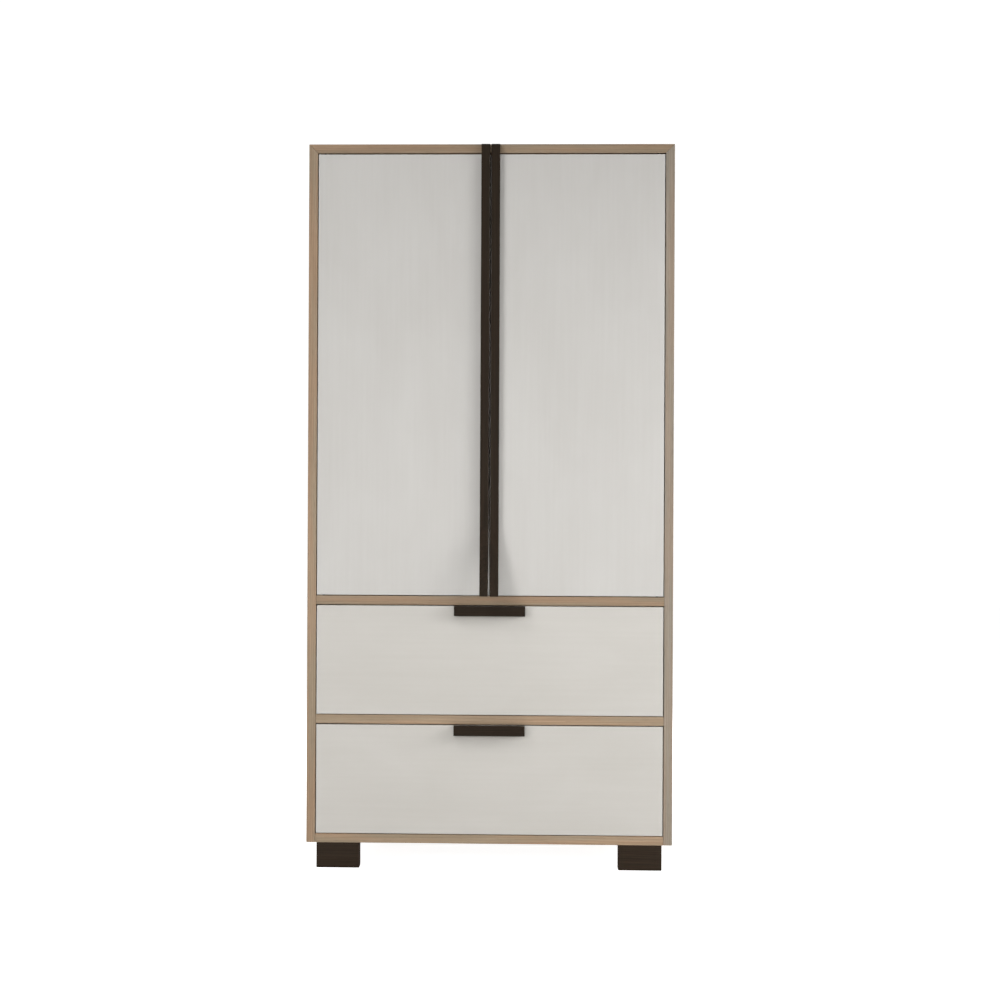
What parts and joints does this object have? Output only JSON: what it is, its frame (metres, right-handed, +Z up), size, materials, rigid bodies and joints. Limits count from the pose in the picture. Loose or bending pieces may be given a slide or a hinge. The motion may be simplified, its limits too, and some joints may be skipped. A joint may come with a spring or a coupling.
{
  "type": "armoire",
  "caption": "Tall free-standing armoire: a square board carcass on block feet, inset doors with full-height strip pulls over inset drawers with short bar pulls.",
  "frame": {"origin": "centre of the whole footprint, on the floor, with the projecting door pulls counted in the depth", "axes": "+Z up, the front faces -Y, +X to the right of someone facing the front"},
  "size_m": [1.016, 0.6188, 2.0135],
  "materials": {
    "washed_oak": "satin",
    "pale_finish": "satin",
    "dark_wood": "satin",
    "drawer_birch": "satin",
    "back_board": "matte",
    "rail_steel": "satin",
    "hardware_steel": "zinc plated",
    "bush_brass": "satin",
    "catch_plastic": "matte"
  },
  "bodies": {
    "carcass": {"left_side_panel": "washed_oak", "right_side_panel": "washed_oak", "top_panel": "washed_oak", "bottom_panel": "washed_oak", "upper_divider": "washed_oak", "lower_divider": "washed_oak", "hat_shelf": "washed_oak", "left_shelf_cleat": "washed_oak", "right_shelf_cleat": "washed_oak", "door_stop_strip": "washed_oak", "back_panel": "back_board", "front_left_foot": "dark_wood", "front_right_foot": "dark_wood", "rear_left_foot": "dark_wood", "rear_right_foot": "dark_wood", "hanging_rail": "rail_steel", "left_rail_socket": "rail_steel", "right_rail_socket": "rail_steel", "left_door_catch": "catch_plastic", "right_door_catch": "catch_plastic", "left_door_top_pin": "hardware_steel", "left_door_bottom_pin": "hardware_steel", "right_door_top_pin": "hardware_steel", "right_door_bottom_pin": "hardware_steel", "upper_left_cabinet_runner": "hardware_steel", "upper_right_cabinet_runner": "hardware_steel", "lower_left_cabinet_runner": "hardware_steel", "lower_right_cabinet_runner": "hardware_steel"},
    "left_door": {"left_door": "pale_finish", "left_door_pull": "dark_wood", "left_door_top_bush": "bush_brass", "left_door_bottom_bush": "bush_brass", "left_strike_plate": "hardware_steel"},
    "right_door": {"right_door": "pale_finish", "right_door_pull": "dark_wood", "right_door_top_bush": "bush_brass", "right_door_bottom_bush": "bush_brass", "right_strike_plate": "hardware_steel"},
    "upper_drawer": {"upper_drawer_front": "pale_finish", "upper_drawer_pull": "dark_wood", "upper_drawer_left_side": "drawer_birch", "upper_drawer_right_side": "drawer_birch", "upper_drawer_back": "drawer_birch", "upper_drawer_bottom": "drawer_birch", "upper_left_drawer_runner": "hardware_steel", "upper_right_drawer_runner": "hardware_steel"},
    "upper_middle_runners": {"upper_left_middle_runner": "hardware_steel", "upper_right_middle_runner": "hardware_steel"},
    "lower_drawer": {"lower_drawer_front": "pale_finish", "lower_drawer_pull": "dark_wood", "lower_drawer_left_side": "drawer_birch", "lower_drawer_right_side": "drawer_birch", "lower_drawer_back": "drawer_birch", "lower_drawer_bottom": "drawer_birch", "lower_left_drawer_runner": "hardware_steel", "lower_right_drawer_runner": "hardware_steel"},
    "lower_middle_runners": {"lower_left_middle_runner": "hardware_steel", "lower_right_middle_runner": "hardware_steel"}
  },
  "joints": [
    {"name": "left_door_hinge", "type": "hinge", "parent": "carcass", "child": "left_door", "pos_m": [-0.4631, -0.243, 0.7597], "axis": [0, 0, -1], "range_deg": [0, 110]},
    {"name": "right_door_hinge", "type": "hinge", "parent": "carcass", "child": "right_door", "pos_m": [0.4631, -0.243, 0.7597], "axis": [0, 0, 1], "range_deg": [0, 110]},
    {"name": "upper_drawer_slide", "type": "slide", "parent": "carcass", "child": "upper_drawer", "axis": [0, -1, 0], "range_m": [0, 0.4]},
    {"name": "lower_drawer_slide", "type": "slide", "parent": "carcass", "child": "lower_drawer", "axis": [0, -1, 0], "range_m": [0, 0.4]},
    {"name": "upper_middle_runner_slide", "type": "slide", "parent": "carcass", "child": "upper_middle_runners", "axis": [0, -1, 0], "range_m": [0, 0.2]},
    {"name": "lower_middle_runner_slide", "type": "slide", "parent": "carcass", "child": "lower_middle_runners", "axis": [0, -1, 0], "range_m": [0, 0.2]}
  ],
  "couplings": [
    {"joint": "upper_middle_runner_slide", "follows": "upper_drawer_slide", "ratio": 0.5},
    {"joint": "lower_middle_runner_slide", "follows": "lower_drawer_slide", "ratio": 0.5}
  ]
}
